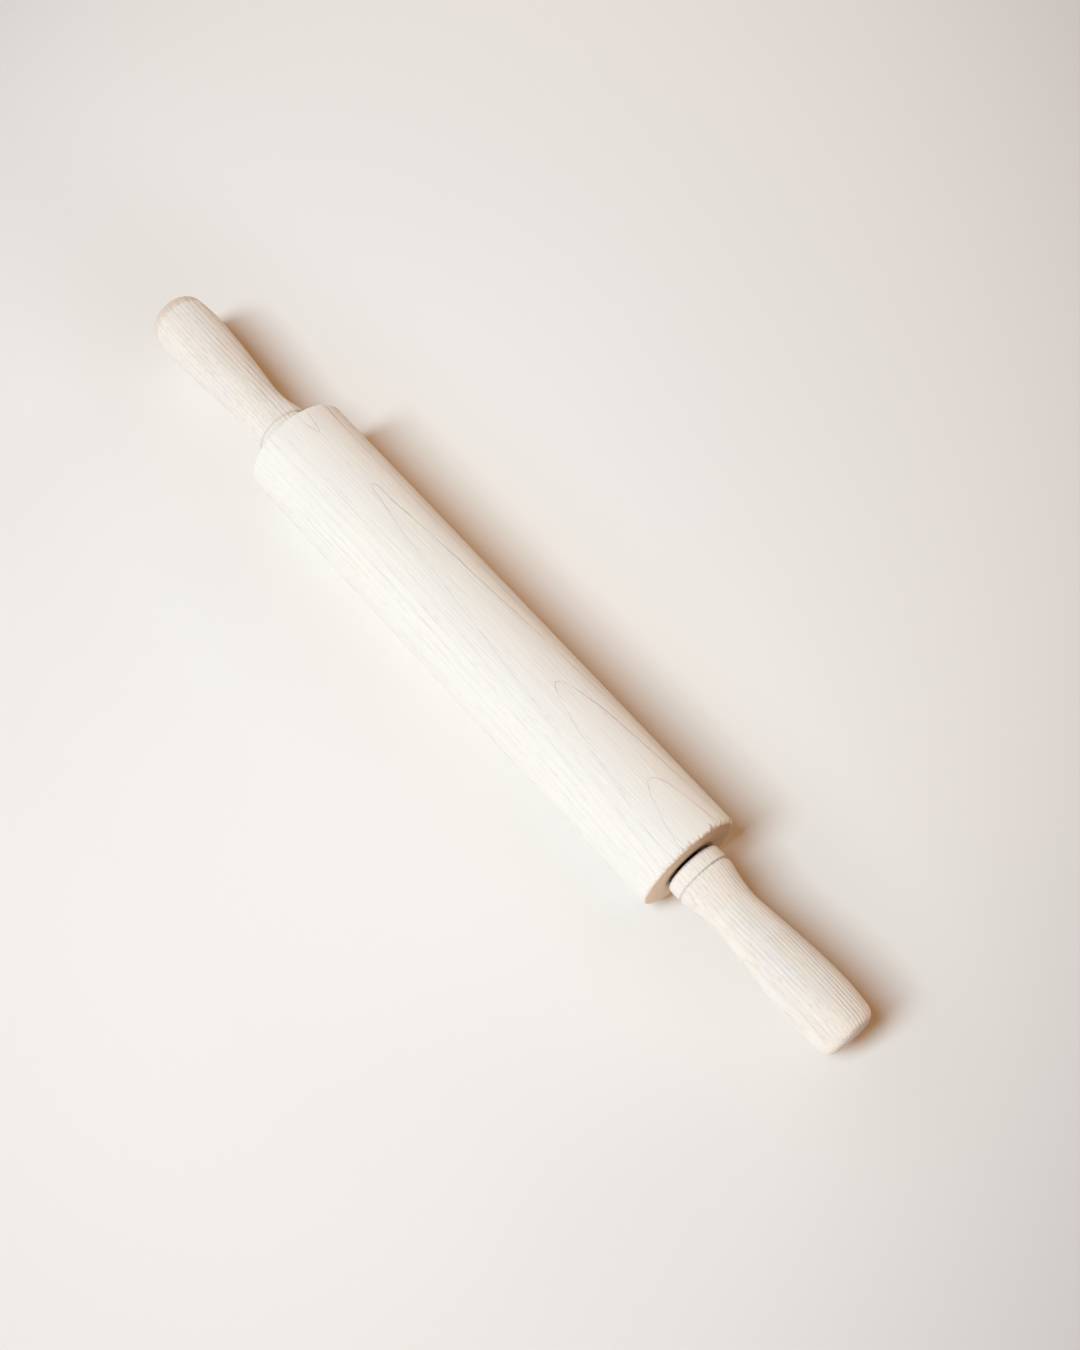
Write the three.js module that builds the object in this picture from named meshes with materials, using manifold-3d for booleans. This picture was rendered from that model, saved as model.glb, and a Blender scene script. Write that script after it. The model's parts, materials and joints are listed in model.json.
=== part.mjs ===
// Wooden rolling pin: a turned barrel that spins on two ball bearings round a steel rod,
// with a turned handle screwed on each end of the rod.
// Millimetres, +Z up, +X along the rod. The origin lies on the worktop, under the middle of the barrel.
import * as THREE from "three";
import { mergeVertices } from "three/addons/utils/BufferGeometryUtils.js";
import Module from "manifold-3d";

// Barrel
const BARREL_DIAMETER = 51;
const BARREL_LENGTH = 267;
const BARREL_EDGE_RADIUS = 2;

// Handle: places along it are measured outwards from the face of its collar
const HANDLE_LENGTH = 95.5;
const HANDLE_GAP = 1.2;
const COLLAR_DIAMETER = 26.8;
const COLLAR_CORNER_RADIUS = 2;
const GROOVE_AT = 7.8;
const GROOVE_WIDTH = 2;
const GROOVE_DEPTH = 0.9;
const BEAD_DIAMETER = 26.8;
const BEAD_FLOW = 4.5;
const NECK_DIAMETER = 21.8;
const NECK_AT = 27.5;
const NECK_FLOW_IN = 11.5;
const NECK_FLOW_OUT = 3;
const SWELL_DIAMETER = 29.2;
const SWELL_FROM_END = 17.5;
const SWELL_FLOW = 20;
const SHOULDER_DROP = 0.9;
const END_SLOPE = THREE.MathUtils.degToRad(6);
const END_RADIUS = 6.5;

// Rod: its turned-down ends carry the bearings and screw into the handles
const ROD_SHOULDER = 1;
const ROD_CLEARANCE = 1;
const ROD_REACH = 27;
const ROD_CHAMFER = 0.8;

// Threaded insert, pressed into the handle and held by barbs
const INSERT_WALL = 2;
const INSERT_LENGTH = 22;
const INSERT_LEAD = 2;
const BARB_COUNT = 4;
const BARB_DEPTH = 0.5;
const ROD_HOLE_END_ROOM = 3;
const DRILL_POINT_ANGLE = THREE.MathUtils.degToRad(118);

// Shielded ball bearing, 8 x 22 x 7
const BEARING_BORE = 8;
const BEARING_OUTSIDE = 22;
const BEARING_WIDTH = 7;
const BEARING_INSET = 2.5;
const RACE_CHAMFER = 0.4;
const RACE_DEPTH = 0.7;
const BALL_COUNT = 7;
const POCKET_GAP = 0.15;
const CAGE_BASE = 0.45;
const CAGE_SIDE_GAP = 0.3;
const CAGE_END_GAP = 0.25;
const CAGE_REACH = 1;
const SHIELD_THICKNESS = 0.3;
const SHIELD_INSET = 0.35;
const SHIELD_SEAT = 0.5;
const SHIELD_LIP = 0.2;
const SHIELD_SIDE_GAP = 0.3;
const SPACER_STEP = 0.3;

// Clearances: pieces that bear on each other, and balls in their races
const FIT_GAP = 0.1;
const BALL_GAP = 0.2;

// Facets
const BARREL_SIDES = 56;
const HANDLE_SIDES = 32;
const METAL_SIDES = 22;
const BALL_SIDES = 10;
const BALL_RINGS = 6;
const EDGE_STEPS = 5;
const CORNER_STEPS = 3;
const RACE_STEPS = 4;
const FLOW_STEPS = 8;

// Sizes that follow from those above
const barrelRadius = BARREL_DIAMETER / 2;
const barrelEnd = BARREL_LENGTH / 2;
const axisHeight = barrelRadius * Math.cos(Math.PI / BARREL_SIDES);
const bearingAt = barrelEnd - BEARING_INSET - BEARING_WIDTH / 2;
const bearingSeat = barrelEnd - BEARING_INSET - BEARING_WIDTH - FIT_GAP;
const collarAt = barrelEnd + HANDLE_GAP;
const bearingBoreRadius = BEARING_BORE / 2;
const journalRadius = bearingBoreRadius - FIT_GAP;
const rodRadius = journalRadius + ROD_SHOULDER;
const insertRadius = bearingBoreRadius + INSERT_WALL;
const halfWidth = BEARING_WIDTH / 2;
const pitchRadius = (BEARING_BORE + BEARING_OUTSIDE) / 4;
const ballSideRoom = POCKET_GAP + CAGE_BASE + CAGE_END_GAP + SHIELD_THICKNESS + SHIELD_INSET;
const ballRadius = halfWidth - ballSideRoom;
const grooveRadius = ballRadius + BALL_GAP;
const innerLand = pitchRadius - grooveRadius + RACE_DEPTH;
const outerLand = pitchRadius + grooveRadius - RACE_DEPTH;
const grooveTurn = Math.acos((grooveRadius - RACE_DEPTH) / grooveRadius);
const shieldSeat = outerLand + SHIELD_SEAT;

// Finishes
const barrelWood = new THREE.MeshStandardMaterial({ color: 0xf2ece0, roughness: 0.75, metalness: 0 });
const handleWood = new THREE.MeshStandardMaterial({ color: 0xeaddcd, roughness: 0.7, metalness: 0 });
const rodSteel = new THREE.MeshStandardMaterial({ color: 0xb8babd, roughness: 0.35, metalness: 1 });
const bearingSteel = new THREE.MeshStandardMaterial({ color: 0xc9cbce, roughness: 0.2, metalness: 1 });
const brass = new THREE.MeshStandardMaterial({ color: 0xc9a24f, roughness: 0.35, metalness: 1 });
const nylon = new THREE.MeshStandardMaterial({ color: 0xd9d3c4, roughness: 0.6, metalness: 0 });

const wasm = await Module();
wasm.setup();

// A point of an outline: its distance from the rod's axis, and its place along the axis
function at(radius, along) {
  return new THREE.Vector2(radius, along);
}

// A round stretch of an outline about a centre
function arc(centre, radius, from, to, steps) {
  const curve = new THREE.EllipseCurve(centre.x, centre.y, radius, radius, from, to, to < from);
  return curve.getPoints(steps);
}

// A solid turned about the X axis, with a flat side facing straight down
function turned(outline, sides) {
  const geometry = new THREE.LatheGeometry(outline, sides, Math.PI / sides);
  return geometry.rotateZ(-Math.PI / 2);
}

function turnedRing(outline, sides) {
  return turned([...outline, outline[0]], sides);
}

function toSolid(geometry) {
  geometry.deleteAttribute("normal");
  geometry.deleteAttribute("uv");
  const merged = mergeVertices(geometry);
  const vertProperties = Float32Array.from(merged.getAttribute("position").array);
  const triVerts = Uint32Array.from(merged.getIndex().array);
  return new wasm.Manifold(new wasm.Mesh({ numProp: 3, vertProperties, triVerts }));
}

function toGeometry(solid) {
  const { vertProperties, triVerts } = solid.getMesh();
  const geometry = new THREE.BufferGeometry();
  geometry.setAttribute("position", new THREE.BufferAttribute(vertProperties, 3));
  geometry.setIndex(new THREE.BufferAttribute(triVerts, 1));
  geometry.computeVertexNormals();
  return geometry;
}

function addPiece(parent, name, geometry, material, along) {
  const mesh = new THREE.Mesh(geometry, material);
  mesh.name = name;
  mesh.position.x = along;
  parent.add(mesh);
  return mesh;
}

// Barrel: rounded edges, a long bore clear of the rod, and a recess for a bearing in each end
function barrelGeometry() {
  const recessRadius = BEARING_OUTSIDE / 2 + FIT_GAP;
  const boreRadius = rodRadius + ROD_CLEARANCE;
  const edge = BARREL_EDGE_RADIUS;
  const outline = [
    at(recessRadius, -barrelEnd),
    ...arc(at(barrelRadius - edge, edge - barrelEnd), edge, -Math.PI / 2, 0, EDGE_STEPS),
    ...arc(at(barrelRadius - edge, barrelEnd - edge), edge, 0, Math.PI / 2, EDGE_STEPS),
    at(recessRadius, barrelEnd),
    at(recessRadius, bearingSeat),
    at(boreRadius, bearingSeat),
    at(boreRadius, -bearingSeat),
    at(recessRadius, -bearingSeat),
  ];
  return turnedRing(outline, BARREL_SIDES);
}

// Rod: full thickness between the bearings, turned down to a journal at each end
function rodGeometry() {
  const rodEnd = collarAt + ROD_REACH;
  const outline = [
    at(0, -rodEnd),
    at(journalRadius - ROD_CHAMFER, -rodEnd),
    at(journalRadius, ROD_CHAMFER - rodEnd),
    at(journalRadius, -bearingSeat),
    at(rodRadius, -bearingSeat),
    at(rodRadius, bearingSeat),
    at(journalRadius, bearingSeat),
    at(journalRadius, rodEnd - ROD_CHAMFER),
    at(journalRadius - ROD_CHAMFER, rodEnd),
    at(0, rodEnd),
  ];
  return turned(outline, METAL_SIDES);
}

// Handle: collar, scribed groove, bead, neck, swelling and rounded end, with a stepped blind hole
function handleGeometry() {
  const holeRadius = bearingBoreRadius;
  const holeDepth = Math.max(ROD_REACH, INSERT_LENGTH) + ROD_HOLE_END_ROOM;
  const drillPoint = holeRadius / Math.tan(DRILL_POINT_ANGLE / 2);
  const insertHoleRadius = insertRadius + FIT_GAP;
  const insertHoleDepth = INSERT_LENGTH + FIT_GAP;
  const collar = COLLAR_DIAMETER / 2;
  const bead = BEAD_DIAMETER / 2;
  const neck = NECK_DIAMETER / 2;
  const swell = SWELL_DIAMETER / 2;
  const grooveBottom = Math.min(collar, bead) - GROOVE_DEPTH;
  const beadAt = GROOVE_AT + GROOVE_WIDTH / 2;
  const swellAt = HANDLE_LENGTH - SWELL_FROM_END;
  const corner = at(collar - COLLAR_CORNER_RADIUS, COLLAR_CORNER_RADIUS);
  const endCentre = at(swell - SHOULDER_DROP - END_RADIUS, HANDLE_LENGTH - END_RADIUS);
  const endArc = arc(endCentre, END_RADIUS, END_SLOPE, Math.PI / 2, EDGE_STEPS);
  const shoulder = endArc[0];
  const shoulderBend = shoulder.y - (swell - shoulder.x) / Math.tan(END_SLOPE);
  const beadToNeck = new THREE.CubicBezierCurve(
    at(bead, beadAt),
    at(bead, beadAt + BEAD_FLOW),
    at(neck, NECK_AT - NECK_FLOW_IN),
    at(neck, NECK_AT),
  );
  const neckToSwell = new THREE.CubicBezierCurve(
    at(neck, NECK_AT),
    at(neck, NECK_AT + NECK_FLOW_OUT),
    at(swell, swellAt - SWELL_FLOW),
    at(swell, swellAt),
  );
  const swellToEnd = new THREE.QuadraticBezierCurve(at(swell, swellAt), at(swell, shoulderBend), shoulder);
  const outline = [
    at(0, holeDepth + drillPoint),
    at(holeRadius, holeDepth),
    at(holeRadius, insertHoleDepth),
    at(insertHoleRadius, insertHoleDepth),
    at(insertHoleRadius, 0),
    ...arc(corner, COLLAR_CORNER_RADIUS, -Math.PI / 2, 0, CORNER_STEPS),
    at(collar, GROOVE_AT - GROOVE_WIDTH / 2),
    at(grooveBottom, GROOVE_AT),
    ...beadToNeck.getPoints(FLOW_STEPS),
    ...neckToSwell.getPoints(FLOW_STEPS).slice(1),
    ...swellToEnd.getPoints(CORNER_STEPS).slice(1),
    ...endArc.slice(1),
    at(0, HANDLE_LENGTH),
  ];
  return turned(outline, HANDLE_SIDES);
}

// Insert: a tube with a plain lead and a row of barbs that point out of the handle
function insertGeometry() {
  const rootRadius = insertRadius - BARB_DEPTH;
  const barbPitch = (INSERT_LENGTH - INSERT_LEAD) / BARB_COUNT;
  const outline = [at(bearingBoreRadius, INSERT_LENGTH), at(bearingBoreRadius, 0)];
  for (let barb = 0; barb < BARB_COUNT; barb += 1) {
    outline.push(at(insertRadius, barb * barbPitch));
    outline.push(at(rootRadius, (barb + 1) * barbPitch));
  }
  outline.push(at(rootRadius, INSERT_LENGTH));
  return turnedRing(outline, METAL_SIDES);
}

// Spacer: bears on the inner race at one end and on the insert at the other
function spacerGeometry() {
  const length = BEARING_INSET + HANDLE_GAP - 2 * FIT_GAP;
  const radius = innerLand - SPACER_STEP;
  const outline = [
    at(bearingBoreRadius, 0),
    at(radius, 0),
    at(radius, length),
    at(bearingBoreRadius, length),
  ];
  return turnedRing(outline, METAL_SIDES);
}

// Outer race: a deep groove for the balls, and a lipped seat for a shield at each face
function outerRaceGeometry() {
  const outside = BEARING_OUTSIDE / 2;
  const lip = shieldSeat - SHIELD_LIP;
  const lipEnd = halfWidth - SHIELD_INSET + FIT_GAP;
  const seatEnd = halfWidth - SHIELD_INSET - SHIELD_THICKNESS - FIT_GAP;
  const outline = [
    at(lip, -halfWidth),
    at(outside - RACE_CHAMFER, -halfWidth),
    at(outside, RACE_CHAMFER - halfWidth),
    at(outside, halfWidth - RACE_CHAMFER),
    at(outside - RACE_CHAMFER, halfWidth),
    at(lip, halfWidth),
    at(lip, lipEnd),
    at(shieldSeat, lipEnd),
    at(shieldSeat, seatEnd),
    at(outerLand, seatEnd),
    ...arc(at(pitchRadius, 0), grooveRadius, grooveTurn, -grooveTurn, RACE_STEPS),
    at(outerLand, -seatEnd),
    at(shieldSeat, -seatEnd),
    at(shieldSeat, -lipEnd),
    at(lip, -lipEnd),
  ];
  return turnedRing(outline, METAL_SIDES);
}

// Inner race: the matching groove, and a bore that sits on the rod's journal
function innerRaceGeometry() {
  const outline = [
    at(bearingBoreRadius, RACE_CHAMFER - halfWidth),
    at(bearingBoreRadius + RACE_CHAMFER, -halfWidth),
    at(innerLand, -halfWidth),
    ...arc(at(pitchRadius, 0), grooveRadius, Math.PI + grooveTurn, Math.PI - grooveTurn, RACE_STEPS),
    at(innerLand, halfWidth),
    at(bearingBoreRadius + RACE_CHAMFER, halfWidth),
    at(bearingBoreRadius, halfWidth - RACE_CHAMFER),
  ];
  return turnedRing(outline, METAL_SIDES);
}

// The places of the balls on the pitch circle
function ballPlaces() {
  const places = [];
  for (let ball = 0; ball < BALL_COUNT; ball += 1) {
    const angle = (2 * Math.PI * ball) / BALL_COUNT;
    places.push(new THREE.Vector3(0, pitchRadius * Math.sin(angle), pitchRadius * Math.cos(angle)));
  }
  return places;
}

function ballGeometry(radius) {
  return new THREE.SphereGeometry(radius, BALL_SIDES, BALL_RINGS);
}

// Cage: a crown whose round pockets reach past the middle of the balls, so that they snap in
function cageGeometry() {
  const pocketRadius = ballRadius + POCKET_GAP;
  const inside = innerLand + CAGE_SIDE_GAP;
  const outside = outerLand - CAGE_SIDE_GAP;
  const baseFace = -(pocketRadius + CAGE_BASE);
  const ring = turnedRing(
    [at(inside, baseFace), at(outside, baseFace), at(outside, CAGE_REACH), at(inside, CAGE_REACH)],
    METAL_SIDES,
  );
  let crown = toSolid(ring);
  for (const place of ballPlaces()) {
    const pocket = ballGeometry(pocketRadius).translate(place.x, place.y, place.z);
    crown = crown.subtract(toSolid(pocket));
  }
  return toGeometry(crown);
}

// Shield: a thin washer that snaps behind the outer race's lip and clears the inner race
function shieldGeometry() {
  const inside = innerLand + SHIELD_SIDE_GAP;
  const outside = shieldSeat - FIT_GAP;
  const half = SHIELD_THICKNESS / 2;
  const outline = [at(inside, -half), at(outside, -half), at(outside, half), at(inside, half)];
  return turnedRing(outline, METAL_SIDES);
}

// A bearing in its own group, centred on the balls, with its outer face towards +X
function bearing(side) {
  const group = new THREE.Group();
  const shieldAt = halfWidth - SHIELD_INSET - SHIELD_THICKNESS / 2;
  addPiece(group, `${side}_outer_race`, outerRaceGeometry(), bearingSteel, 0);
  addPiece(group, `${side}_inner_race`, innerRaceGeometry(), bearingSteel, 0);
  addPiece(group, `${side}_ball_cage`, cageGeometry(), nylon, 0);
  addPiece(group, `${side}_inner_shield`, shieldGeometry(), bearingSteel, -shieldAt);
  addPiece(group, `${side}_outer_shield`, shieldGeometry(), bearingSteel, shieldAt);
  ballPlaces().forEach((place, index) => {
    const ball = addPiece(group, `${side}_ball_${index + 1}`, ballGeometry(ballRadius), bearingSteel, 0);
    ball.position.copy(place);
  });
  return group;
}

// Everything at one end of the pin: bearing, spacer, handle and insert
function pinEnd(side, turn) {
  const end = new THREE.Group();
  const bearingGroup = bearing(side);
  bearingGroup.position.x = bearingAt;
  end.add(bearingGroup);
  addPiece(end, `${side}_spacer`, spacerGeometry(), rodSteel, barrelEnd - BEARING_INSET + FIT_GAP);
  addPiece(end, `${side}_handle`, handleGeometry(), handleWood, collarAt);
  addPiece(end, `${side}_insert`, insertGeometry(), brass, collarAt);
  end.rotation.z = turn;
  return end;
}

const rollingPin = new THREE.Group();
const onAxis = new THREE.Group();
onAxis.position.z = axisHeight;
addPiece(onAxis, "barrel", barrelGeometry(), barrelWood, 0);
addPiece(onAxis, "axle_rod", rodGeometry(), rodSteel, 0);
onAxis.add(pinEnd("right", 0));
onAxis.add(pinEnd("left", Math.PI));
rollingPin.add(onAxis);

export default rollingPin;
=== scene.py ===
"""Looks of a turned wooden rolling pin: whitewashed wood on a pale table in soft light."""
import json
import math
from dataclasses import dataclass

import bmesh
import bpy
from mathutils import Matrix, Vector


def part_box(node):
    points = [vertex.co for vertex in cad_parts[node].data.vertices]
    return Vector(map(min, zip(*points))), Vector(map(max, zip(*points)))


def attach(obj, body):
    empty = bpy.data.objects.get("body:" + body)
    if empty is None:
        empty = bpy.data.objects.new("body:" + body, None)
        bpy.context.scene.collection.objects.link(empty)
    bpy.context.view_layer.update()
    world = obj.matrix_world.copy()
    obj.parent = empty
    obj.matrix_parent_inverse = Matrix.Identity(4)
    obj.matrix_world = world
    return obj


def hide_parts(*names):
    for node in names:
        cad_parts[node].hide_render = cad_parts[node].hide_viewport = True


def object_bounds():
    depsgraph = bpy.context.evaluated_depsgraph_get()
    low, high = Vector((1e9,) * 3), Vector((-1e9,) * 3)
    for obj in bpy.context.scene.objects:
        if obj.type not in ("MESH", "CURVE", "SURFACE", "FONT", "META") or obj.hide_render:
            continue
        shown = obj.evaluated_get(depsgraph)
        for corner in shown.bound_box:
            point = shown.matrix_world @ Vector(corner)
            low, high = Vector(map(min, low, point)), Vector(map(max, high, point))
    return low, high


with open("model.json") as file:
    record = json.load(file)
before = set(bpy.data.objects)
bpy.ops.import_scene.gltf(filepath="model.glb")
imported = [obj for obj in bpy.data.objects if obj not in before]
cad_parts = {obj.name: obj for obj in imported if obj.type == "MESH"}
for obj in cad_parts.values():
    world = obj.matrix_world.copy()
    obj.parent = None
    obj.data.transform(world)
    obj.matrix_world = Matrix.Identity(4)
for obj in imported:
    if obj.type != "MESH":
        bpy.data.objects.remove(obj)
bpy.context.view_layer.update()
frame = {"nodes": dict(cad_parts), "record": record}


@dataclass
class Cut:
    """How a piece was cut from its log: lengths in millimetres, counts in year rings."""

    crest: float  # angle from straight up, towards +Y, of the side that faced the bark
    pith: float  # from the piece's axis to the middle of the log
    ring: float  # width of a year ring
    surface: float  # from the axis to the surface at which the counts below hold
    start: float  # ring count on the crest at x = 0
    climb: float  # rings crossed per millimetre of x on the crest
    bend: float  # growth of that climb, in rings per square millimetre
    quiet: float  # strength of the ring edges below and towards -Y, next to that above and towards +Y
    seed: float  # moves the noise, so that no two pieces look alike


@dataclass
class Tone:
    """The colours of a wooden piece, and how its end grain shows."""

    base: tuple  # colour of the wash
    flush: tuple  # colour of the soft patches in it
    line: tuple  # colour of ring edges, pores and fibres
    end: tuple  # colour of bare end grain on the side towards -Y, painted lighter as if lit
    shaded_end: tuple  # colour of bare end grain on the other side, painted darker as shade
    rings: float  # strength of the ring edges' colour
    contrast: float  # strength of the other colour differences along the grain
    relief: float  # strength of the relief
    edge: float  # radius of the rounded edge at the end, in millimetres
    bare: tuple  # how far over that edge the wash gives out at the -X and +X end, in millimetres
    teeth: float  # how ragged the wash ends, in millimetres
    soft: float  # how softly it ends, in millimetres
    reach: float  # farthest from an end, in millimetres, that end grain shows


@dataclass
class Lamp:
    """A soft lamp that is aimed at the pin."""

    azimuth: float  # where it stands, in degrees from -Y towards +X
    elevation: float  # how high it stands, in degrees
    size: tuple  # width and height
    distance: float
    level: tuple  # its light on a white surface at the pin that faces it


def shown(red, green, blue):
    """A colour as a screen shows it, 0 to 255, in the linear values that a shader takes."""
    linear = [((c / 255 + 0.055) / 1.055) ** 2.4 for c in (red, green, blue)]
    return (*linear, 1.0)


MM = 0.001
IN_MM = (MM, MM, MM)
WHITE = (1.0, 1.0, 1.0, 1.0)
BLACK = (0.0, 0.0, 0.0, 1.0)

# The axis that everything is turned about
SPIN = frame["record"]["behaviour"]["joints"][0]
AXIS_HEIGHT = SPIN["pos_m"][2]
AXIS = Vector((0, 0, AXIS_HEIGHT))

# The material slot of each node
SLOT_OF = {part["node"]: part["material_slot"] for part in frame["record"]["subparts"]}

# Camera, as the photograph was taken, and how far right of and below the pin's middle it looks
CAMERA_AZIMUTH = math.radians(49.23)
CAMERA_ELEVATION = math.radians(65.74)
CAMERA_DISTANCE = 0.8218
CAMERA_LENS = 49.92
CAMERA_SENSOR = 36
TARGET_RIGHT = 0.0250
TARGET_DOWN = 0.0135

# The picture's directions on the table
VIEW_RIGHT = Vector((math.cos(CAMERA_AZIMUTH), math.sin(CAMERA_AZIMUTH), 0))
VIEW_AWAY = Vector((-math.sin(CAMERA_AZIMUTH), math.cos(CAMERA_AZIMUTH), 0))

# Light: a key lamp high in front, two low fills, what the room adds to the shadows, and how the room looks
LAMPS = {
    "key": Lamp(azimuth=-8, elevation=58, size=(1.2, 2.7), distance=5.0, level=(0.845, 1.01, 1.13)),
    "back_fill": Lamp(azimuth=180, elevation=9, size=(1.2, 0.8), distance=3.0, level=(0.285, 0.22, 0.16)),
    "side_fill": Lamp(azimuth=88, elevation=4, size=(0.8, 0.8), distance=3.0, level=(0.33, 0.25, 0.18)),
}
ROOM_LIGHT = (0.21, 0.09, 0.01, 1.0)
BACKDROP = (0.82, 0.79, 0.76, 1.0)

# Turned surfaces: how a node's outline is read and drawn
SAME_POINT = 0.02 * MM  # points of the mesh that are nearer than this are one point of the outline
SAME_WAY = 0.999  # directions with a larger cosine between them are mixed, others turned
CORNER_TURN = math.radians(38)  # a sharper turn is a corner
STRAIGHT = 8  # a stretch so many times as long as its neighbour is straight
CORNER_CUT = 0.25 * MM  # how far from a corner its round starts
CORNER_PARTS = 3  # the round takes at most one part in this many of a stretch
CORNER_STEPS = 3
TURN_PER_STEP = math.radians(5)
LONGEST_STEP = 12 * MM
WOOD_SEGMENTS = 192
METAL_SEGMENTS = 96
BALL_SEGMENTS = 32
BALL_RINGS = 16

# Table top, with painted light: brightest at its middle, given right and away in the picture, and darker from
# there outward, a painted falloff of the light
FLOOR_SIZE = 12.0
FLOOR_BRIGHT = (0.985, 0.942, 0.890, 1.0)
FLOOR_DARK = (0.417, 0.400, 0.402, 1.0)
# Painted warm light: the share of the table top's colour that it gives off as a glow, to warm its shadows
FLOOR_GLOW = (0.12, 0.03, 0.0)
FLOOR_MIDDLE = (-0.043, 0.064)
FLOOR_REACH = (0.325, 0.375)  # how far right and away of the middle the falls below are reached
FLOOR_ROUGHNESS = 0.7
FLOOR_SHINE = 0.2
FALL_SIDEWAYS = 0.426  # a share of the way from bright to dark, like the other falls
FALL_AWAY = 0.228
FALL_ASLANT = -0.106
FALL_LIMIT = 0.85

# Distances from the pin between which the table top melts into the backdrop
FAR_FADE = (0.46, 0.95)

# Painted shade: soft darker patches of the table top round the pin, where its shadow and contact shade fall
# and where light bounced off the pin would lighten the table: middle, half size and colour
PAINTED_SHADE_PATCHES = (
    ((-0.130, 0.126, 0.0), (0.337, 0.353, 1.0), (0.913, 0.925, 0.941, 1.0)),
    ((-0.052, 0.007, 0.0), (0.374, 0.107, 1.0), (0.916, 0.887, 0.857, 1.0)),
    ((0.120, 0.015, 0.0), (0.172, 0.078, 1.0), (0.883, 0.897, 0.904, 1.0)),
)
PAINTED_SHADE_FADE = (0.2, 1.0)

# Marks in the wood: their size along the grain and across it both ways, in millimetres
DRIFT_MARK = (70, 14, 14)
RIPPLE_MARK = (16, 4, 4)
GAP_MARK = (26, 5, 5)
PORE_MARK = (5, 0.45, 0.45)
FIBRE_MARK = (24, 0.6, 0.6)
STREAK_MARK = (70, 2.6, 2.6)
FLUSH_MARK = (30, 9, 9)
SPECK_MARK = (3, 0.5, 0.5)
TOOTH_MARK = (10, 0.7, 0.7)
TOOTH_ROUGHNESS = 0.6
FINE_DETAIL = 2.0
SEED_WAY = (1.0, 0.7, 0.3)

# Year rings: how far they waver, in millimetres, and the fewest rings per millimetre of surface that count
RING_DRIFT = 0.45
RING_RIPPLE = 0.22
SLOWEST_PACE = 0.004

# Lines at the ring edges: millimetres from the edge, noise, and shares of the piece's radius, to fade between
LINE_FADE = (0.05, 0.42)
GAP_FADE = (-0.2, 0.2)
GAP_STRENGTH = 0.3
QUIET_SIDE_FADE = (-0.15, 0.35)
QUIET_BELOW_FADE = (-0.25, 0.2)

# Early wood in millimetres from the ring edge, late wood in shares of a ring, and how strongly pores show
EARLY_START_FADE = (-0.1, 0.2)
EARLY_END_FADE = (0.9, 2.4)
LATE_FADE = (0.35, 1.0)
PORE_FADE = (0.06, 0.2)
EARLY_PORES = 0.8  # in early wood, added to those all over
PORES_ALL_OVER = 0.25

# How dark the marks along the grain are, and where the soft patches start and end in their noise
LATE_DARK = 0.08
PORE_DARK = 0.55
FIBRE_DARK = 0.75
STREAK_DARK = 0.50
EVEN_DARK = 0.1
FLUSH_FADE = (-0.1, 0.2)

# End grain: how dark its marks are, and where it goes from its lit colour to its colour of painted shade and
# fades out
END_LINE_DARK = 0.4
END_SPECK_DARK = 0.9
END_EVEN_DARK = 0.1
END_LIT_TO_SHADED = (-1.0, 0.9)  # in shares of the piece's radius
REACH_START = 0.8  # in shares of its reach

# Flat ends: turn of the surface, in radians, and the millimetres over the edge that they count as
FLAT_TURN_FADE = (1.3, 1.45)
FLAT_OVER = 20.0

# Relief of the wood in millimetres, and its gloss
LINE_RELIEF = -0.26
PORE_RELIEF = -0.06
FIBRE_RELIEF = 0.40
WOOD_ROUGHNESS = 0.56
MARK_ROUGHNESS = 0.12
WOOD_SHINE = 0.35
WOOD_DIFFUSION = 0.45

# Metal: size of its blotches in millimetres, and how much darker and rougher its marks are
BLOTCH_MARK = (6, 6, 6)
TURNING_DARK = 0.3
BLOTCH_DARK = 0.4
METAL_EVEN_DARK = 0.3
METAL_DARKEST = 0.8  # share of its colour's light that is left where it is darkest
METAL_MARK_ROUGHNESS = 0.2

# Nylon: sizes of its grain and clouds in millimetres, how dark the clouds are, and its relief
NYLON_GRAIN_MARK = (0.3, 0.3, 0.3)
NYLON_CLOUD_MARK = (3, 3, 3)
NYLON_CLOUD_DARK = 0.8
NYLON_EVEN_DARK = 0.4
NYLON_DARKEST = 0.85  # share of its colour's light that is left where it is darkest
NYLON_ROUGHNESS = 0.5
NYLON_GRAIN_ROUGHNESS = 0.2
NYLON_DEPTH = 0.02 * MM

BARREL_CUT = Cut(
    crest=math.radians(12.8), pith=60, ring=2.5, surface=25.5, start=0.481, climb=0.00993, bend=5.11e-5,
    quiet=0.35, seed=11.0
)
RIGHT_HANDLE_CUT = Cut(
    crest=math.radians(105), pith=70, ring=1.7, surface=14.7, start=0.3, climb=0.004, bend=0.0,
    quiet=0.4, seed=37.0
)
LEFT_HANDLE_CUT = Cut(
    crest=math.radians(78), pith=60, ring=1.9, surface=14.7, start=0.15, climb=0.002, bend=0.0,
    quiet=0.3, seed=63.0
)
BARREL_TONE = Tone(
    base=shown(242, 236, 229), flush=shown(243, 237, 228), line=shown(184, 168, 150),
    end=shown(247, 234, 221), shaded_end=shown(181, 151, 122), rings=0.42, contrast=0.19, relief=1.0,
    edge=2.0, bare=(6.0, 2.3), teeth=18, soft=0.6, reach=6
)
RIGHT_HANDLE_TONE = Tone(
    base=shown(237, 229, 221), flush=shown(240, 230, 218), line=shown(168, 150, 134),
    end=shown(224, 220, 216), shaded_end=shown(183, 170, 162), rings=0.50, contrast=0.42, relief=0.5,
    edge=6.5, bare=(3.5, 6.2), teeth=8, soft=1.4, reach=9
)
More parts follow.
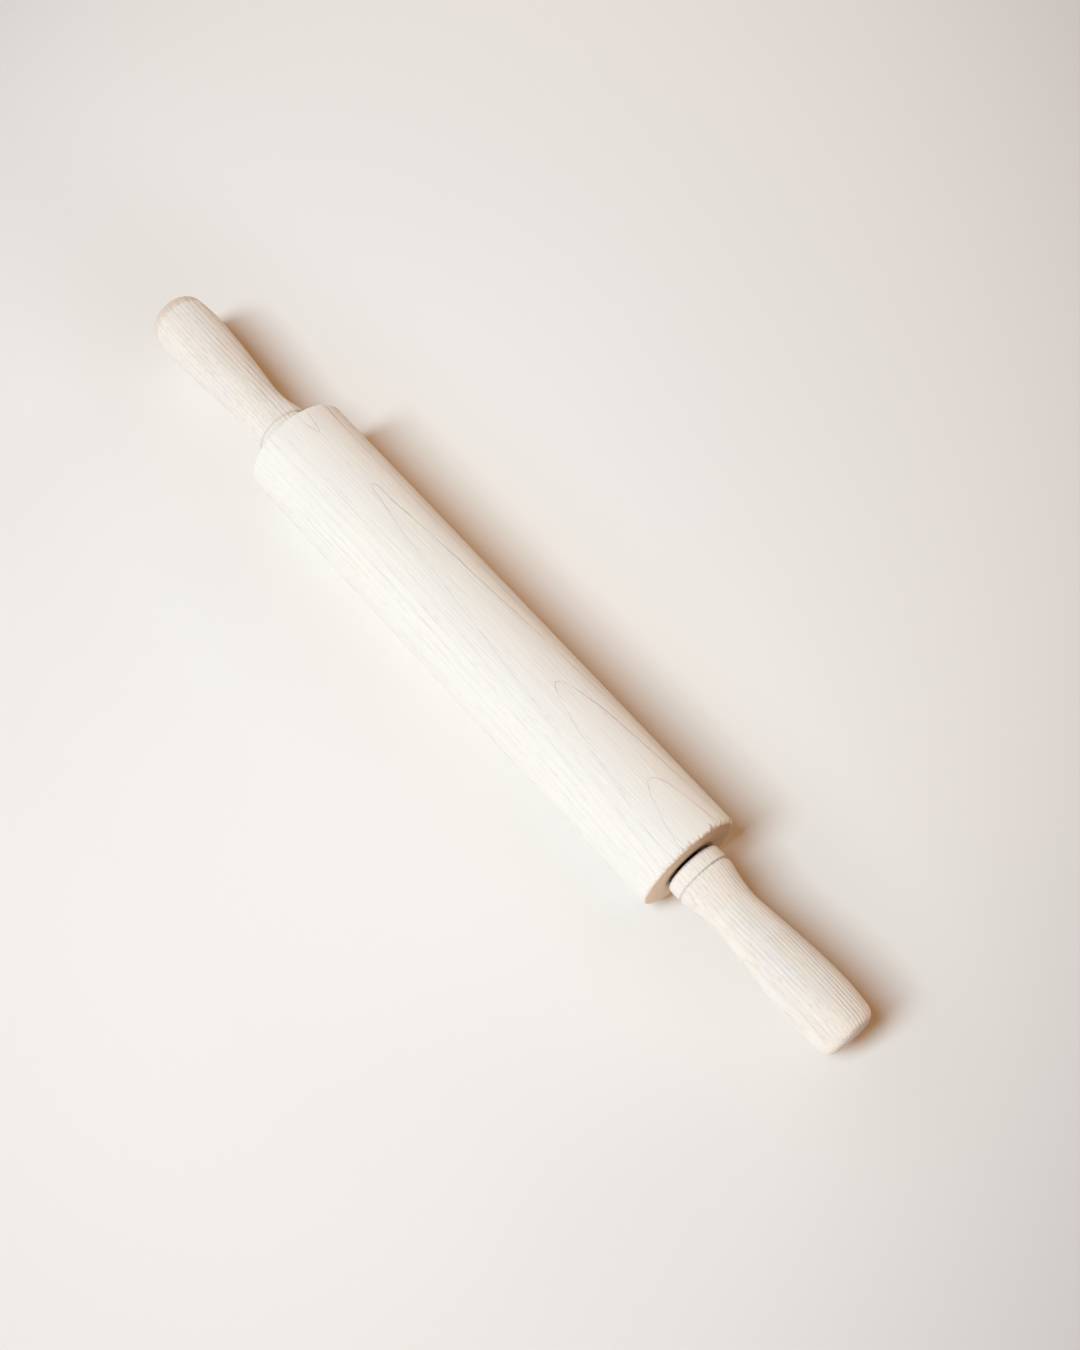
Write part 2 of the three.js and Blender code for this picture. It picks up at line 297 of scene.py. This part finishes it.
LEFT_HANDLE_TONE = Tone(
    base=shown(238, 230, 222), flush=shown(240, 230, 218), line=shown(168, 150, 134),
    end=shown(230, 212, 196), shaded_end=shown(222, 198, 176), rings=0.50, contrast=0.40, relief=0.7,
    edge=6.5, bare=(0.5, 20.0), teeth=6, soft=1.8, reach=9
)
WOODEN = {
    "barrel": (BARREL_CUT, BARREL_TONE),
    "right_handle": (RIGHT_HANDLE_CUT, RIGHT_HANDLE_TONE),
    "left_handle": (LEFT_HANDLE_CUT, LEFT_HANDLE_TONE),
}


class Shader:
    """A shader written as a formula: most methods add a node to its tree and return that node's output."""

    def __init__(self, owner):
        owner.use_nodes = True
        self.tree = owner.node_tree
        self.tree.nodes.clear()

    def node(self, kind, inputs, output=0, **settings):
        made = self.tree.nodes.new("ShaderNode" + kind)
        for name, value in settings.items():
            setattr(made, name, value)
        for name, value in inputs.items():
            if isinstance(value, bpy.types.NodeSocket):
                self.tree.links.new(value, made.inputs[name])
            else:
                made.inputs[name].default_value = value
        return made.outputs[output]

    def source(self, kind):
        """All outputs of a node that takes nothing in."""
        return self.tree.nodes.new("ShaderNode" + kind).outputs

    def math(self, operation, *values):
        return self.node("Math", dict(enumerate(values)), operation=operation)

    def vector(self, operation, *values):
        output = "Value" if operation in ("LENGTH", "DOT_PRODUCT") else "Vector"
        return self.node("VectorMath", dict(enumerate(values)), output, operation=operation)

    def split(self, vector):
        made = self.tree.nodes.new("ShaderNodeSeparateXYZ")
        self.tree.links.new(vector, made.inputs[0])
        return made.outputs

    def join(self, x, y, z):
        return self.node("CombineXYZ", {0: x, 1: y, 2: z})

    def placed(self, point, origin, unit, rotation=(0, 0, 0)):
        """A point as seen from an origin, in a unit for each axis, with the axes turned."""
        placing = {"Vector": point, "Location": origin, "Rotation": rotation, "Scale": unit}
        return self.node("Mapping", placing, vector_type="TEXTURE")

    def noise(self, place, size, detail=1.0, roughness=0.5):
        """Soft noise about 0, mostly within a half, whose marks are about size (x, y, z) across."""
        scaled = self.vector("DIVIDE", place, size)
        pattern = {"Vector": scaled, "Scale": 1.0, "Detail": detail, "Roughness": roughness}
        return self.math("SUBTRACT", self.node("TexNoise", pattern), 0.5)

    def fade(self, value, start, end, low=0.0, high=1.0):
        """Goes smoothly from low where value is start to high where it is end."""
        limits = {"Value": value, "From Min": start, "From Max": end, "To Min": low, "To Max": high}
        return self.node("MapRange", limits, interpolation_type="SMOOTHSTEP")

    def mix(self, share, first, second):
        return self.node("Mix", {0: share, 6: first, 7: second}, 2, data_type="RGBA")

    def total(self, *terms):
        result = terms[0]
        for term in terms[1:]:
            result = self.math("ADD", result, term)
        return result

    def bump(self, height, distance):
        return self.node("Bump", {"Height": height, "Distance": distance, "Strength": 1.0})

    def surface(self, **inputs):
        named = {name.replace("_", " "): value for name, value in inputs.items()}
        return self.node("BsdfPrincipled", named)

    def finish(self, kind, surface):
        """Links the surface to the output node of the tree."""
        output = self.tree.nodes.new("ShaderNodeOutput" + kind)
        self.tree.links.new(surface, output.inputs["Surface"])


def year_rings(s, place, normal, shifted, cut):
    """The ring count at a place, and the millimetres of surface from the nearest ring edge to it."""
    x, y, z = s.split(place)
    out = s.math("ADD", z, cut.pith)
    radius = s.math("SQRT", s.math("ADD", s.math("MULTIPLY", y, y), s.math("MULTIPLY", out, out)))
    waver = s.total(
        s.math("MULTIPLY", s.noise(shifted, DRIFT_MARK), RING_DRIFT),
        s.math("MULTIPLY", s.noise(shifted, RIPPLE_MARK), RING_RIPPLE),
    )
    depth = s.math("SUBTRACT", s.math("ADD", radius, waver), cut.pith + cut.surface)
    slope = s.math("MULTIPLY_ADD", x, cut.bend, cut.climb)
    along = s.math("MULTIPLY_ADD", x, slope, cut.start)
    count = s.math("ADD", s.math("DIVIDE", depth, cut.ring), along)

    # How fast the count changes along the surface
    steep = s.math("MULTIPLY_ADD", x, 2 * cut.bend, cut.climb)
    scale = s.math("MULTIPLY", radius, cut.ring)
    gradient = s.join(steep, s.math("DIVIDE", y, scale), s.math("DIVIDE", out, scale))
    inward = s.vector("MULTIPLY", normal, s.vector("DOT_PRODUCT", gradient, normal))
    pace = s.math("MAXIMUM", s.vector("LENGTH", s.vector("SUBTRACT", gradient, inward)), SLOWEST_PACE)
    from_edge = s.math("SUBTRACT", s.math("FRACT", s.math("ADD", count, 0.5)), 0.5)
    return count, s.math("DIVIDE", from_edge, pace)


def bare_end(s, node, place, normal, cut, tone):
    """1 on bare end grain and 0 under the wash, which gives out in slender teeth over the rounded edge."""
    x, y, z = s.split(place)
    low, high = (corner.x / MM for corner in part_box(node))
    from_end = s.math("MINIMUM", s.math("SUBTRACT", x, low), s.math("SUBTRACT", high, x))
    around = s.vector("NORMALIZE", s.join(0.0, y, z))
    rim = s.vector("MULTIPLY_ADD", around, (cut.surface, cut.surface, cut.surface), s.join(x, cut.seed, 0.0))
    teeth = s.noise(rim, TOOTH_MARK, FINE_DETAIL, TOOTH_ROUGHNESS)
    turn = s.math("ARCSINE", s.math("MINIMUM", s.math("ABSOLUTE", s.split(normal)[0]), 1.0))
    before = s.math("MINIMUM", s.math("SUBTRACT", tone.edge, from_end), 0.0)
    over = s.math("MULTIPLY_ADD", turn, tone.edge, before)
    flat = s.fade(turn, *FLAT_TURN_FADE, -FLAT_OVER, FLAT_OVER)
    ragged = s.math("MAXIMUM", s.math("MULTIPLY_ADD", teeth, tone.teeth, over), flat)
    left, right = tone.bare
    on_right = s.math("GREATER_THAN", x, (low + high) / 2)
    bare = s.math("MULTIPLY_ADD", on_right, right - left, left)
    near_end = s.fade(from_end, tone.reach * REACH_START, tone.reach, 1.0, 0.0)
    return s.math("MULTIPLY", s.fade(s.math("SUBTRACT", ragged, bare), -tone.soft, tone.soft), near_end)


def wood(name, node, cut, tone):
    """Whitewashed ring-porous wood: shallow lines at the year rings, pores, fibres, and bare end grain."""
    material = bpy.data.materials.new(name)
    s = Shader(material)
    coordinates = s.source("TexCoord")
    place = s.placed(coordinates["Object"], AXIS, IN_MM, (-cut.crest, 0, 0))
    turning = {"Vector": coordinates["Normal"], "Angle": cut.crest}
    normal = s.node("VectorRotate", turning, rotation_type="X_AXIS")
    shifted = s.vector("ADD", place, [cut.seed * way for way in SEED_WAY])
    count, edge = year_rings(s, place, normal, shifted, cut)

    # Lines at the ring edges, with gaps in them, quieter below and towards -Y
    _, side, up = s.split(s.vector("SUBTRACT", coordinates["Object"], AXIS))
    sideways = s.math("DIVIDE", side, cut.surface * MM)
    height = s.math("DIVIDE", up, cut.surface * MM)
    towards_y = s.fade(sideways, *QUIET_SIDE_FADE, cut.quiet, 1.0)
    on_top = s.math("MINIMUM", towards_y, s.fade(height, *QUIET_BELOW_FADE, cut.quiet, 1.0))
    gaps = s.fade(s.noise(shifted, GAP_MARK), *GAP_FADE, GAP_STRENGTH, 1.0)
    at_edge = s.fade(s.math("ABSOLUTE", edge), *LINE_FADE, 1.0, 0.0)
    line = s.math("MULTIPLY", at_edge, s.math("MULTIPLY", gaps, on_top))

    # Pores, most of them in the early wood, and fibres and streaks all over
    early = s.math("MULTIPLY", s.fade(edge, *EARLY_START_FADE), s.fade(edge, *EARLY_END_FADE, 1.0, 0.0))
    late = s.fade(s.math("FRACT", count), *LATE_FADE)
    pores = s.fade(s.noise(shifted, PORE_MARK), *PORE_FADE)
    dash = s.math("MULTIPLY", pores, s.math("MULTIPLY_ADD", early, EARLY_PORES, PORES_ALL_OVER))
    fibre = s.noise(shifted, FIBRE_MARK, FINE_DETAIL)
    streak = s.noise(shifted, STREAK_MARK)
    dark = s.total(
        s.math("MULTIPLY", late, LATE_DARK),
        s.math("MULTIPLY", dash, PORE_DARK),
        s.math("MULTIPLY", fibre, FIBRE_DARK),
        s.math("MULTIPLY", streak, STREAK_DARK),
        EVEN_DARK,
    )
    grain = s.math("MAXIMUM", s.math("MULTIPLY", dark, tone.contrast), 0.0)
    shade = s.math("MULTIPLY_ADD", line, tone.rings, grain)
    patch = s.fade(s.noise(shifted, FLUSH_MARK), *FLUSH_FADE)
    side_grain = s.mix(shade, s.mix(patch, tone.base, tone.flush), tone.line)

    # End grain, painted lighter towards -Y and in painted shade on the other side
    speck = s.noise(shifted, SPECK_MARK, FINE_DETAIL)
    specks = s.math("MULTIPLY", speck, END_SPECK_DARK)
    marks = s.total(s.math("MULTIPLY", line, END_LINE_DARK), specks, END_EVEN_DARK)
    end_tone = s.mix(s.fade(sideways, *END_LIT_TO_SHADED), tone.end, tone.shaded_end)
    end_grain = s.mix(s.math("MAXIMUM", marks, 0.0), end_tone, tone.line)
    end = bare_end(s, node, place, normal, cut, tone)

    relief = s.total(
        s.math("MULTIPLY", line, LINE_RELIEF),
        s.math("MULTIPLY", dash, PORE_RELIEF),
        s.math("MULTIPLY", fibre, FIBRE_RELIEF),
    )
    surface = s.surface(
        Base_Color=s.mix(end, side_grain, end_grain),
        Roughness=s.math("MULTIPLY_ADD", s.total(dash, line), MARK_ROUGHNESS, WOOD_ROUGHNESS),
        Specular_IOR_Level=WOOD_SHINE,
        Diffuse_Roughness=WOOD_DIFFUSION,
        Normal=s.bump(s.math("MULTIPLY", relief, tone.relief), MM),
    )
    s.finish("Material", surface)
    return material


def darkened(color, share):
    """A colour with only that share of its light."""
    return (*(c * share for c in color[:3]), 1.0)


def turned_metal(name, color, roughness, mark, depth):
    """Bare metal with the fine rings that turning leaves, about mark millimetres wide."""
    material = bpy.data.materials.new(name)
    s = Shader(material)
    place = s.placed(s.source("TexCoord")["Object"], AXIS, IN_MM)
    x, y, z = s.split(place)
    radius = s.math("SQRT", s.math("ADD", s.math("MULTIPLY", y, y), s.math("MULTIPLY", z, z)))
    rings = s.noise(s.join(x, radius, 0.0), (mark, mark, mark), FINE_DETAIL)
    blotch = s.noise(place, BLOTCH_MARK, FINE_DETAIL)
    blotched = s.math("MULTIPLY_ADD", blotch, BLOTCH_DARK, METAL_EVEN_DARK)
    shade = s.math("MULTIPLY_ADD", rings, TURNING_DARK, blotched)
    surface = s.surface(
        Base_Color=s.mix(shade, color, darkened(color, METAL_DARKEST)),
        Metallic=1.0,
        Roughness=s.math("MULTIPLY_ADD", s.total(rings, blotch), METAL_MARK_ROUGHNESS, roughness),
        Normal=s.bump(rings, depth),
    )
    s.finish("Material", surface)
    return material


def moulded_nylon(name, color):
    """Off-white nylon with a soft moulded grain."""
    material = bpy.data.materials.new(name)
    s = Shader(material)
    place = s.vector("DIVIDE", s.source("TexCoord")["Object"], IN_MM)
    grain = s.noise(place, NYLON_GRAIN_MARK, FINE_DETAIL)
    cloud = s.noise(place, NYLON_CLOUD_MARK)
    shade = s.math("MULTIPLY_ADD", cloud, NYLON_CLOUD_DARK, NYLON_EVEN_DARK)
    surface = s.surface(
        Base_Color=s.mix(shade, color, darkened(color, NYLON_DARKEST)),
        Roughness=s.math("MULTIPLY_ADD", grain, NYLON_GRAIN_ROUGHNESS, NYLON_ROUGHNESS),
        Normal=s.bump(grain, NYLON_DEPTH),
    )
    s.finish("Material", surface)
    return material


def table_top(name):
    """A pale matt table top with painted light and shade: a painted falloff from a bright middle, patches of
    painted shade round the pin, and a glow of painted warm light in its shadows; far away it melts into the
    backdrop.
    """
    material = bpy.data.materials.new(name)
    s = Shader(material)
    place = s.source("TexCoord")["Object"]
    sideways = s.vector("DOT_PRODUCT", place, VIEW_RIGHT)
    away = s.vector("DOT_PRODUCT", place, VIEW_AWAY)
    u = s.math("DIVIDE", s.math("SUBTRACT", sideways, FLOOR_MIDDLE[0]), FLOOR_REACH[0])
    v = s.math("DIVIDE", s.math("SUBTRACT", away, FLOOR_MIDDLE[1]), FLOOR_REACH[1])
    # Painted falloff of the light: how far the colour goes from bright to dark
    fall = s.total(
        s.math("MULTIPLY", s.math("MULTIPLY", u, u), FALL_SIDEWAYS),
        s.math("MULTIPLY", s.math("MULTIPLY", v, v), FALL_AWAY),
        s.math("MULTIPLY", s.math("MULTIPLY", u, v), FALL_ASLANT),
    )
    color = s.mix(s.math("MINIMUM", fall, FALL_LIMIT), FLOOR_BRIGHT, FLOOR_DARK)
    # Painted shade round the pin
    for middle, half_size, painted_shade in PAINTED_SHADE_PATCHES:
        from_middle = s.vector("LENGTH", s.placed(place, middle, half_size))
        color = s.vector("MULTIPLY", color, s.mix(s.fade(from_middle, *PAINTED_SHADE_FADE), painted_shade, WHITE))
    # Painted warm light that lightens the shadows on the table top
    glow = s.vector("MULTIPLY", color, FLOOR_GLOW)
    matt = s.vector("SUBTRACT", color, glow)
    far = s.fade(s.vector("LENGTH", place), *FAR_FADE)
    surface = s.surface(
        Base_Color=s.mix(far, matt, BLACK),
        Roughness=FLOOR_ROUGHNESS,
        Specular_IOR_Level=s.math("MULTIPLY_ADD", far, -FLOOR_SHINE, FLOOR_SHINE),
        Emission_Color=s.mix(far, glow, BACKDROP),
        Emission_Strength=1.0,
    )
    s.finish("Material", surface)
    return material


def outline(node):
    """A turned node's half section from its mesh: (along, radius) points, and if they close in a ring."""
    mesh = frame["nodes"][node].data
    points = []
    point_of = []
    for vertex in mesh.vertices:
        here = Vector((vertex.co.x, math.hypot(vertex.co.y, vertex.co.z - AXIS_HEIGHT)))
        same = [i for i, point in enumerate(points) if (point - here).length < SAME_POINT]
        if not same:
            same = [len(points)]
            points.append(here)
        point_of.append(same[0])
    beside = [set() for _ in points]
    for edge in mesh.edges:
        first, second = (point_of[v] for v in edge.vertices)
        if first != second:
            beside[first].add(second)
            beside[second].add(first)
    ends = [i for i, near in enumerate(beside) if len(near) == 1]
    order = [ends[0] if ends else 0]
    while True:
        onward = [i for i in beside[order[-1]] if i not in order]
        if not onward:
            break
        order.append(onward[0])

    # Always anticlockwise, so that the outside lies on the right
    path = [points[i] for i in order]
    turns = sum(a.x * b.y - b.x * a.y for a, b in zip(path, path[1:] + path[:1]))
    if turns < 0:
        path.reverse()
    return path, not ends


def knots_of(path, closed):
    """Points of an outline with the direction of travel there, and each sharp corner cut to a small round."""
    count = len(path)
    knots = []
    for i, point in enumerate(path):
        if not closed and i in (0, count - 1):
            near = path[1] - path[0] if i == 0 else path[-1] - path[-2]
            knots.append((point, near.normalized()))
            continue
        before = point - path[i - 1]
        after = path[(i + 1) % count] - point
        if before.angle(after) < CORNER_TURN:
            if before.length > STRAIGHT * after.length:
                way = before
            elif after.length > STRAIGHT * before.length:
                way = after
            else:
                way = before.normalized() + after.normalized()
            knots.append((point, way.normalized()))
            continue
        cut = min(CORNER_CUT, before.length / CORNER_PARTS, after.length / CORNER_PARTS)
        start = point - before.normalized() * cut
        end = point + after.normalized() * cut
        for step in range(CORNER_STEPS + 1):
            t = step / CORNER_STEPS
            inward = start.lerp(point, t)
            outward = point.lerp(end, t)
            knots.append((inward.lerp(outward, t), (outward - inward).normalized()))
    return knots


def smooth_outline(node):
    """The node's outline with its curves drawn fine, as (point, direction) pairs, and if it is closed."""
    path, closed = outline(node)
    knots = knots_of(path, closed)
    fine = []
    following = knots[1:] + knots[:1] if closed else knots[1:]
    for (a, leave), (b, arrive) in zip(knots, following):
        span = (b - a).length
        steps = max(1, math.ceil(leave.angle(arrive) / TURN_PER_STEP), math.ceil(span / LONGEST_STEP))
        for step in range(steps):
            t = step / steps
            h = t * t * (3 - 2 * t)
            pull = (t * (1 - t) ** 2) * span
            push = (t * t * (t - 1)) * span
            point = a.lerp(b, h) + leave * pull + arrive * push
            way = leave * (1 - t) + arrive * t if leave.dot(arrive) > SAME_WAY else leave.slerp(arrive, t)
            fine.append((point, way.normalized()))
    if not closed:
        fine.append(knots[-1])
    return fine, closed


def turned(node, segments, material):
    """A smooth turned piece in the place of a node, with its own normals and a map for its surface."""
    fine, closed = smooth_outline(node)
    angles = [2 * math.pi * i / segments for i in range(segments)]
    vertices = []
    normals = []
    rings = []
    for point, way in fine:
        if point.y < SAME_POINT:
            rings.append([len(vertices)] * segments)
            vertices.append((point.x, 0, AXIS_HEIGHT))
            normals.append((math.copysign(1, way.y), 0, 0))
            continue
        rings.append([len(vertices) + i for i in range(segments)])
        for angle in angles:
            side, up = math.sin(angle), math.cos(angle)
            vertices.append((point.x, point.y * side, AXIS_HEIGHT + point.y * up))
            normals.append((way.y, -way.x * side, -way.x * up))

    # Each row of the map is as high as its band of the surface is large
    heights = [0.0]
    pairs = list(zip(fine, fine[1:] + fine[:1] if closed else fine[1:]))
    for (a, _), (b, _) in pairs:
        heights.append(heights[-1] + (b - a).length * (a.y + b.y))
    faces = []
    corners = []
    for row in range(len(pairs)):
        near, far = rings[row], rings[(row + 1) % len(rings)]
        low, high = heights[row] / heights[-1], heights[row + 1] / heights[-1]
        for i in range(segments):
            j = (i + 1) % segments
            left, right = i / segments, (i + 1) / segments
            face = [near[i], near[j], far[j], far[i]]
            uv = [(left, low), (right, low), (right, high), (left, high)]
            kept = [k for k in range(4) if face[k] != face[k - 1]]
            faces.append([face[k] for k in kept])
            corners.extend(uv[k] for k in kept)

    mesh = bpy.data.meshes.new("smooth_" + node)
    mesh.from_pydata(vertices, [], faces)
    layer = mesh.uv_layers.new(name="OFBake")
    for loop, uv in zip(layer.data, corners):
        loop.uv = uv
    mesh.shade_smooth()
    mesh.normals_split_custom_set_from_vertices(normals)
    stand_in(node, mesh, material)


def ball(node, material):
    """A true sphere in the place of a faceted ball."""
    low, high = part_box(node)
    mesh = bpy.data.meshes.new("smooth_" + node)
    shape = bmesh.new()
    move = Matrix.Translation((low + high) / 2)
    bmesh.ops.create_uvsphere(
        shape, u_segments=BALL_SEGMENTS, v_segments=BALL_RINGS, radius=(high.x - low.x) / 2, matrix=move
    )
    shape.to_mesh(mesh)
    shape.free()
    mesh.shade_smooth()
    stand_in(node, mesh, material)


def stand_in(node, mesh, material):
    """Puts a mesh in the place of a node, on the node's body and with the given material."""
    mesh.materials.append(material)
    piece = bpy.data.objects.new("smooth_" + node, mesh)
    bpy.context.scene.collection.objects.link(piece)
    bodies = frame["record"]["behaviour"]["bodies"]
    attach(piece, next(body for body, nodes in bodies.items() if node in nodes))
    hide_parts(node)


def wear(node, material):
    """Gives a node that is shown as it is its material."""
    mesh = frame["nodes"][node].data
    mesh.materials.clear()
    mesh.materials.append(material)


def direction(azimuth, elevation):
    """The way from the pin to what stands at an azimuth, from -Y towards +X, and an elevation, in radians."""
    level = math.cos(elevation)
    return Vector((math.sin(azimuth) * level, -math.cos(azimuth) * level, math.sin(elevation)))


def soft_lamp(name, lamp):
    """Puts up a lamp with the power that gives its level at the pin."""
    peak = max(lamp.level)
    data = bpy.data.lights.new(name, "AREA")
    data.shape = "RECTANGLE"
    data.size, data.size_y = lamp.size
    data.color = [c / peak for c in lamp.level]
    data.energy = peak * (math.pi * lamp.distance) ** 2
    obj = bpy.data.objects.new(name, data)
    bpy.context.scene.collection.objects.link(obj)
    back = direction(math.radians(lamp.azimuth), math.radians(lamp.elevation))
    obj.location = AXIS + back * lamp.distance
    obj.rotation_euler = back.to_track_quat("Z", "Y").to_euler()


def table(height):
    """A wide table top at the given height."""
    half = FLOOR_SIZE / 2
    mesh = bpy.data.meshes.new("table_top")
    corners = [(-half, -half, 0), (half, -half, 0), (half, half, 0), (-half, half, 0)]
    mesh.from_pydata(corners, [], [(0, 1, 2, 3)])
    mesh.materials.append(table_top("table_top"))
    floor = bpy.data.objects.new("table_top", mesh)
    floor.location.z = height
    bpy.context.scene.collection.objects.link(floor)


def room():
    """A room that lights the shadows warmly but looks pale, also in metal."""
    world = bpy.data.worlds.new("room")
    bpy.context.scene.world = world
    s = Shader(world)
    ray = s.source("LightPath")
    mirrored = s.math("MAXIMUM", ray["Is Glossy Ray"], ray["Is Transmission Ray"])
    seen = s.math("MAXIMUM", ray["Is Camera Ray"], mirrored)
    s.finish("World", s.node("Background", {"Color": s.mix(seen, ROOM_LIGHT, BACKDROP)}))


def camera():
    """The photograph's camera, looking at a point beside the middle of the barrel."""
    back = direction(CAMERA_AZIMUTH, CAMERA_ELEVATION)
    up = back.cross(VIEW_RIGHT)
    data = bpy.data.cameras.new("camera")
    data.lens = CAMERA_LENS
    data.sensor_width = CAMERA_SENSOR
    data.sensor_fit = "AUTO"
    obj = bpy.data.objects.new("camera", data)
    bpy.context.scene.collection.objects.link(obj)
    target = AXIS + VIEW_RIGHT * TARGET_RIGHT - up * TARGET_DOWN
    turn = Matrix((VIEW_RIGHT, up, back)).transposed().to_4x4()
    obj.matrix_world = Matrix.Translation(target + back * CAMERA_DISTANCE) @ turn
    bpy.context.scene.camera = obj


STEEL = turned_metal("turned_steel", (0.56, 0.57, 0.58, 1.0), roughness=0.32, mark=0.12, depth=0.01 * MM)
BEARING = turned_metal("bearing_steel", (0.66, 0.67, 0.68, 1.0), roughness=0.14, mark=0.2, depth=0.002 * MM)
SHEET = turned_metal("shield_steel", (0.58, 0.59, 0.60, 1.0), roughness=0.38, mark=0.3, depth=0.008 * MM)
BRASS = turned_metal("insert_brass", (0.72, 0.52, 0.22, 1.0), roughness=0.3, mark=0.15, depth=0.01 * MM)
# Painted shade: near-black steel, so that the gap between barrel and handle looks dark
GAP_SHADE_STEEL = turned_metal("gap_shade_steel", (0.03, 0.027, 0.024, 1.0), roughness=0.5, mark=0.15, depth=0.01 * MM)
METALS = {"rod_steel": STEEL, "bearing_steel": BEARING, "shield_steel": SHEET, "insert_brass": BRASS}
NYLON = moulded_nylon("cage_nylon", (0.70, 0.66, 0.56, 1.0))

for node, (cut, tone) in WOODEN.items():
    turned(node, WOOD_SEGMENTS, wood(node + "_wood", node, cut, tone))
for node, slot in SLOT_OF.items():
    if slot == "cage_nylon":
        wear(node, NYLON)
    elif "_ball_" in node:
        ball(node, BEARING)
    # Spacers and outer shields, which show in the gap, get near-black steel as painted shade
    elif node.endswith("_spacer") or node.endswith("_outer_shield"):
        turned(node, METAL_SEGMENTS, GAP_SHADE_STEEL)
    elif slot in METALS:
        turned(node, METAL_SEGMENTS, METALS[slot])

visual_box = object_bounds()
table(visual_box[0].z)
for name, lamp in LAMPS.items():
    soft_lamp(name, lamp)
room()
camera()
bpy.context.scene.view_settings.view_transform = "Standard"
